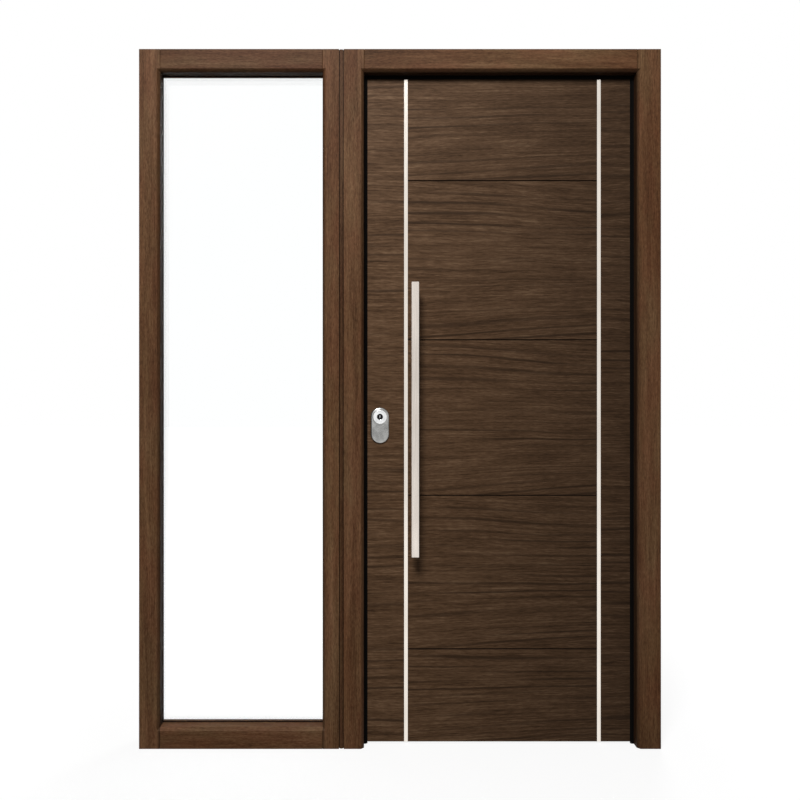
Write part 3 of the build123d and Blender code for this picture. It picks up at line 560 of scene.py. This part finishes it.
def core_board(name):
    """Pressed chips of the leaf's core, as they show in the pockets of lock and hinges."""
    finish = Finish(name)
    chips = finish.add("ShaderNodeTexVoronoi")
    finish.feed(chips.inputs["Vector"], finish.vector("MULTIPLY", finish.place, (160.0, 420.0, 160.0)))
    chips.inputs["Scale"].default_value = 1.0
    tone = finish.add("ShaderNodeRGBToBW")
    finish.feed(tone.inputs[0], chips.outputs["Color"])
    finish.set(
        Base_Color=finish.ramp(tone.outputs[0], (0.2, paint(120, 91, 60)), (0.8, paint(181, 147, 104))),
        Roughness=finish.level(tone.outputs[0], 0.2, 0.8, 0.75, 0.9),
    )
    finish.bump(chips.outputs["Distance"], 0.0003, 0.4)
    return finish.material


def clear_glass(name):
    """Float glass: clear, with the faintest green of its iron here and there."""
    finish = Finish(name)
    tint = finish.noise(finish.place, (1.3, 1.3, 1.3), detail=1.0)
    finish.set(
        Base_Color=finish.ramp(tint, (0.3, paint(254, 255, 255)), (0.7, paint(255, 255, 255))),
        Roughness=0.0,
        IOR=1.5,
        Transmission_Weight=1.0,
    )
    return finish.material


def dress(node, material):
    """Gives a CAD node its finish."""
    slots = NODES[node].data.materials
    slots.clear()
    slots.append(material)


for seed, (node, tone) in enumerate(UPRIGHT_MEMBERS.items(), start=FIRST_UPRIGHT_SEED):
    dress(node, sapele(node, ALONG_Z, seed, tone))
for seed, (node, tone) in enumerate(LEVEL_MEMBERS.items(), start=FIRST_LEVEL_SEED):
    dress(node, sapele(node, ALONG_X, seed, tone))
dress("outer_panel", veneer("veneer_outside", OUTSIDE_SEED, OUTSIDE_PAINTED_FALLOFF, grooved=True))
dress("inner_panel", veneer("veneer_inside", INSIDE_SEED, INSIDE_PAINTED_FALLOFF, grooved=False))
dress("leaf_core", core_board("chip_core"))

BAR_STEEL = brushed("bar_steel", ALONG_Z, ((196, 187, 178), (224, 215, 206)), 0.22)
INLAY_STEEL = brushed("inlay_steel", ALONG_Z, ((216, 208, 198), (238, 230, 220)), 0.16)
LEVER_STEEL = brushed("lever_steel", ALONG_X, ((196, 189, 180), (222, 215, 206)), 0.32)
ROSE_STEEL = satin("rose_steel", ((188, 181, 173), (216, 210, 202)), 0.33)
SHIELD_CHROME = satin("shield_chrome", ((136, 136, 134), (174, 174, 172)), 0.25)
BOSS_CHROME = satin("boss_chrome", ((214, 215, 215), (240, 241, 241)), 0.16)
# The cylinder and key plug are dark steel, painted darker still as painted shade in the keyhole
DARK_STEEL_AND_SHADE = satin("dark_steel", ((14, 14, 15), (28, 28, 29)), 0.45)
LOCK_STEEL = satin("lock_steel", ((150, 149, 146), (190, 189, 186)), 0.38)
HINGE_STEEL = satin("hinge_steel", ((168, 165, 160), (204, 201, 196)), 0.34)
BLACK_RUBBER = rubber("black_rubber")
CLEAR_GLASS = clear_glass("clear_glass")

PLAIN_FINISHES = {
    "pull_bar": BAR_STEEL,
    "pull_posts": ROSE_STEEL,
    "inlay_lock_side": INLAY_STEEL,
    "inlay_hinge_side": INLAY_STEEL,
    "inside_lever": LEVER_STEEL,
    "lever_rose": ROSE_STEEL,
    "thumb_turn_rose": ROSE_STEEL,
    "thumb_turn": ROSE_STEEL,
    "lock_shield": SHIELD_CHROME,
    "lock_cylinder": DARK_STEEL_AND_SHADE,
    "key_plug": DARK_STEEL_AND_SHADE,
    "lock_case": LOCK_STEEL,
    "lock_forend": LOCK_STEEL,
    "lock_bolts": LOCK_STEEL,
    "strike_plate": LOCK_STEEL,
    "glass_spacer": BLACK_RUBBER,
    "door_seal": BLACK_RUBBER,
    "glazing_gasket": BLACK_RUBBER,
    "sidelight_outer_pane": CLEAR_GLASS,
    "sidelight_inner_pane": CLEAR_GLASS,
}
for node, material in PLAIN_FINISHES.items():
    dress(node, material)
for level in HINGE_LEVELS:
    dress(f"hinge_{level}_jamb_half", HINGE_STEEL)
    dress(f"hinge_{level}_leaf_half", HINGE_STEEL)


def skin(shape, rings):
    """Joins rings of equally many points with faces, and closes the last ring."""
    rows = [[shape.verts.new(point) for point in ring] for ring in rings]
    for near, far in zip(rows, rows[1:]):
        for i in range(len(near)):
            shape.faces.new((near[i - 1], near[i], far[i], far[i - 1]))
    shape.faces.new(rows[-1])


def piece(name, shape, material, body):
    """Makes a finished piece of a mesh under construction, riding on a body."""
    bmesh.ops.recalc_face_normals(shape, faces=shape.faces)
    mesh = bpy.data.meshes.new(name)
    shape.to_mesh(mesh)
    shape.free()
    mesh.shade_smooth()
    mesh.set_sharp_from_angle(angle=SHARP_ANGLE)
    mesh.materials.append(material)
    made = bpy.data.objects.new(name, mesh)
    bpy.context.scene.collection.objects.link(made)
    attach(made, body)
    return made


def arc(start, end, steps):
    """Points of a quarter ellipse from start to end, both (inset, height), rounding over."""
    points = []
    for i in range(steps + 1):
        turn = math.radians(90) * i / steps
        along = (end[0] - start[0]) * (1 - math.cos(turn))
        up = (end[1] - start[1]) * math.sin(turn)
        points.append((start[0] + along, start[1] + up))
    return points


def obround_ring(centre, half_width, half_length, inset, height):
    """A ring of an upright obround, drawn in from its outline and raised off the leaf's face."""
    radius = max(half_width - inset, SMALLEST_RING)
    reach = half_length - half_width
    ring = []
    for i in range(OBROUND_POINTS):
        turn = 2 * math.pi * (i + 0.5) / OBROUND_POINTS
        lift = reach if math.sin(turn) > 0 else -reach
        ring.append((
            centre[0] + radius * math.cos(turn),
            LEAF_FACE - height,
            centre[1] + lift + radius * math.sin(turn),
        ))
    return ring


def round_ring(centre, radius, height):
    """A ring round the lock's axis, raised off the leaf's face."""
    turns = [2 * math.pi * i / BOSS_POINTS for i in range(BOSS_POINTS)]
    return [
        (centre[0] + radius * math.cos(t), LEAF_FACE - height, centre[1] + radius * math.sin(t))
        for t in turns
    ]


def make_lock_shield():
    """The shield over the lock: a pillowed plate with a bright round boss about the keyhole."""
    low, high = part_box("lock_shield")
    plug_low, plug_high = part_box("key_plug")
    middle = ((low.x + high.x) / 2, (low.z + high.z) / 2)
    half_width = (high.x - low.x) / 2
    half_length = (high.z - low.z) / 2
    top = high.y - low.y
    face = top - BOSS_HEIGHT
    profile = [(0.0, 0.0)]
    wall_top = (0.0, face - SHIELD_ROUND_HEIGHT)
    profile += arc(wall_top, (SHIELD_ROUND, face - SHIELD_CROWN), ROUND_STEPS)
    for step in range(1, CROWN_STEPS + 1):
        share = step / CROWN_STEPS
        inset = SHIELD_ROUND + share * (half_width - SHIELD_ROUND)
        profile.append((inset, face - SHIELD_CROWN * (1 - share) ** 2))
    plate = bmesh.new()
    skin(plate, [obround_ring(middle, half_width, half_length, *point) for point in profile])
    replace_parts(piece("shield_plate", plate, SHIELD_CHROME, "leaf"), "lock_shield")

    axis = ((plug_low.x + plug_high.x) / 2, (plug_low.z + plug_high.z) / 2)
    outer_round = arc((0.0, top - BOSS_ROUND), (BOSS_ROUND, top), ROUND_STEPS)
    inner_round = arc((0.0, top - BORE_ROUND), (BORE_ROUND, top), BORE_ROUND_STEPS)
    outside = [(BOSS_RADIUS, face - SHIELD_CROWN)]
    outside += [(BOSS_RADIUS - inset, height) for inset, height in outer_round]
    inside = [(BORE_RADIUS + inset, height) for inset, height in reversed(inner_round)]
    boss = bmesh.new()
    skin(boss, [round_ring(axis, *point) for point in outside + inside + [(BORE_RADIUS, face)]])
    piece("shield_boss", boss, BOSS_CHROME, "leaf")


make_lock_shield()


def make_rubber_lip_and_shade():
    """The thin lip along the inner edge of the door seal, on three sides, that rests before the leaf;
    drawn wide, it is also painted shade in the gap round the leaf.
    """
    corners = [vertex.co for vertex in NODES["door_seal"].data.vertices]
    low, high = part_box("door_seal")
    centre = (low + high) / 2
    left = max(corner.x for corner in corners if corner.x < centre.x)
    right = min(corner.x for corner in corners if corner.x > centre.x)
    top = min(corner.z for corner in corners if corner.z > centre.z)
    shape = bmesh.new()
    rows = []
    for reach, depth in LIP_SECTION:
        first, last, crest = left + reach, right - reach, top - reach
        path = ((first, low.z), (first, crest), (last, crest), (last, low.z))
        rows.append([shape.verts.new((x, depth, z)) for x, z in path])
    for near, far in zip(rows, rows[1:] + rows[:1]):
        for i in range(len(near) - 1):
            shape.faces.new((near[i], near[i + 1], far[i + 1], far[i]))
    for end in (0, -1):
        shape.faces.new([row[end] for row in rows])
    piece("rubber_lip_painted_shade", shape, BLACK_RUBBER, "frame")


make_rubber_lip_and_shade()


def plate_face(node, outward):
    """The largest flat face of a node that looks a given way.

    It gives the face's normal, a corner that lies on it, and the low and high corner of its box.
    """
    mesh = NODES[node].data
    planes = {}
    for polygon in mesh.polygons:
        if polygon.normal.dot(outward) > FACING:
            level = round(polygon.normal.dot(polygon.center), 4)
            lean = tuple(round(part, 2) for part in polygon.normal)
            planes.setdefault((level, lean), []).append(polygon)
    largest = max(planes.values(), key=lambda plane: sum(polygon.area for polygon in plane))
    corners = [mesh.vertices[i].co for polygon in largest for i in polygon.vertices]
    low = Vector([min(corner[i] for corner in corners) for i in range(3)])
    high = Vector([max(corner[i] for corner in corners) for i in range(3)])
    return largest[0].normal.copy(), corners[0], low, high


def circle_ring(radius, height):
    """A ring round a screw's axis, raised off its plate."""
    turns = [2 * math.pi * i / SCREW_POINTS for i in range(SCREW_POINTS)]
    return [Vector((radius * math.cos(turn), radius * math.sin(turn), height)) for turn in turns]


def cross_ring(reach, height):
    """A ring in the shape of a cross with square ends."""
    ring = []
    slim = reach * CROSS_SLIMNESS
    for point in circle_ring(1.0, height):
        across = max(abs(point.x), TINY)
        along = max(abs(point.y), TINY)
        radius = max(min(reach / across, slim / along), min(reach / along, slim / across))
        ring.append(Vector((radius * point.x, radius * point.y, height)))
    return ring


def add_screws(shape, node, outward, places, radius):
    """Adds screw heads to a mesh under construction, on the plate of a node."""
    normal, on_face, low, high = plate_face(node, outward)
    turn = normal.to_track_quat("Z", "Y").to_matrix().to_4x4()
    rings = [
        circle_ring(radius, -SCREW_SINK),
        circle_ring(radius, SCREW_RIM),
        *(circle_ring(width * radius, rise * SCREW_CROWN) for width, rise in SCREW_EDGE),
        cross_ring(CROSS_REACH * radius, SCREW_CROWN),
        cross_ring(CROSS_TAPER * CROSS_REACH * radius, SCREW_CROWN - CROSS_DEPTH),
    ]
    for count, (width_share, height_share) in enumerate(places):
        y = low.y + width_share * (high.y - low.y)
        z = low.z + height_share * (high.z - low.z)
        x = on_face.x - (normal.y * (y - on_face.y) + normal.z * (z - on_face.z)) / normal.x
        twist = Matrix.Rotation(SCREW_TWIST * count, 4, "Z")
        placed = Matrix.Translation((x, y, z)) @ turn @ twist
        skin(shape, [[placed @ point for point in ring] for ring in rings])


def make_screws():
    """The screws that hold the hinges, the lock's forend and the strike plate."""
    to_right = Vector((1.0, 0.0, 0.0))
    leaf_hinges = bmesh.new()
    frame_hinges = bmesh.new()
    for level in HINGE_LEVELS:
        add_screws(leaf_hinges, f"hinge_{level}_leaf_half", to_right, HINGE_SCREWS, HINGE_SCREW_RADIUS)
        add_screws(frame_hinges, f"hinge_{level}_jamb_half", -to_right, HINGE_SCREWS, HINGE_SCREW_RADIUS)
    piece("hinge_screws_leaf", leaf_hinges, HINGE_STEEL, "leaf")
    piece("hinge_screws_frame", frame_hinges, HINGE_STEEL, "frame")
    forend = bmesh.new()
    add_screws(forend, "lock_forend", -to_right, LOCK_SCREWS, LOCK_SCREW_RADIUS)
    piece("forend_screws", forend, LOCK_STEEL, "leaf")
    strike = bmesh.new()
    add_screws(strike, "strike_plate", to_right, LOCK_SCREWS, LOCK_SCREW_RADIUS)
    piece("strike_screws", strike, LOCK_STEEL, "frame")


make_screws()


def aimed(place, target):
    """Matrix of a lamp or camera at a place, turned to look at a target."""
    turn = (target - place).to_track_quat("-Z", "Y")
    return Matrix.Translation(place) @ turn.to_matrix().to_4x4()


def area_lamp(name, place, target, size, watts):
    """A round soft lamp."""
    lamp = bpy.data.lights.new(name, "AREA")
    lamp.shape = "DISK"
    lamp.size = size
    lamp.energy = watts
    holder = bpy.data.objects.new(name, lamp)
    holder.matrix_world = aimed(place, target)
    bpy.context.scene.collection.objects.link(holder)


area_lamp("key_lamp", KEY_PLACE, KEY_TARGET, KEY_SIZE, KEY_WATTS)
area_lamp("fill_lamp", FILL_PLACE, FILL_TARGET, FILL_SIZE, FILL_WATTS)


def shown_white(tree, seen_directly=None):
    """1 for rays that show the background: seen directly, mirrored or through glass.

    seen_directly is a socket to use for what the camera sees without mirror or glass.
    """
    light_path = tree.nodes.new("ShaderNodeLightPath")
    shown = light_path.outputs["Is Camera Ray"]
    if seen_directly is not None:
        share = tree.nodes.new("ShaderNodeMath")
        share.operation = "MULTIPLY"
        tree.links.new(shown, share.inputs[0])
        tree.links.new(seen_directly, share.inputs[1])
        shown = share.outputs[0]
    for ray in ("Is Glossy Ray", "Is Transmission Ray"):
        either = tree.nodes.new("ShaderNodeMath")
        either.operation = "MAXIMUM"
        tree.links.new(shown, either.inputs[0])
        tree.links.new(light_path.outputs[ray], either.inputs[1])
        shown = either.outputs[0]
    return shown


def make_world():
    """A room that shows white, and lights the door evenly from all round."""
    world = bpy.data.worlds.new("white_studio")
    world.use_nodes = True
    bpy.context.scene.world = world
    tree = world.node_tree
    background = tree.nodes["Background"]
    background.inputs["Color"].default_value = WHITE
    strength = tree.nodes.new("ShaderNodeMapRange")
    strength.inputs["To Min"].default_value = AMBIENT
    strength.inputs["To Max"].default_value = 1.0
    tree.links.new(shown_white(tree), strength.inputs["Value"])
    tree.links.new(strength.outputs[0], background.inputs["Strength"])


make_world()


def make_floor():
    """A pale floor that reads as the white background, and still takes the door's soft shadow."""
    mesh = bpy.data.meshes.new("studio_floor")
    shape = bmesh.new()
    bmesh.ops.create_grid(
        shape,
        x_segments=FLOOR_SEGMENTS,
        y_segments=FLOOR_SEGMENTS,
        size=FLOOR_REACH,
    )
    shape.to_mesh(mesh)
    shape.free()
    floor = bpy.data.objects.new("studio_floor", mesh)
    floor.location = (MIDDLE.x, 0.0, CAD_LOW.z)
    bpy.context.scene.collection.objects.link(floor)
    finish = Finish("studio_white")
    away = finish.add("ShaderNodeVectorMath", operation="LENGTH")
    finish.feed(away.inputs[0], finish.place)
    fade = finish.level(away.outputs["Value"], FLOOR_FADE_START, FLOOR_FADE_END, FLOOR_GLOW, 1.0)
    finish.set(
        Base_Color=FLOOR_GREY,
        Roughness=0.9,
        Specular_IOR_Level=0.0,
        Emission_Color=WHITE,
        Emission_Strength=shown_white(finish.tree, fade),
    )
    mesh.materials.append(finish.material)


make_floor()


def make_camera():
    """The photograph's camera, looking straight inwards."""
    camera = bpy.data.cameras.new("photo_camera")
    camera.lens = LENS_MM
    camera.sensor_width = SENSOR_MM
    camera.shift_x = LENS_SHIFT_X
    camera.shift_y = LENS_SHIFT_Y
    viewer = bpy.data.objects.new("photo_camera", camera)
    viewer.matrix_world = aimed(EYE, EYE + Vector((0.0, 1.0, 0.0)))
    bpy.context.scene.collection.objects.link(viewer)
    bpy.context.scene.camera = viewer


make_camera()
bpy.context.scene.view_settings.view_transform = "Standard"
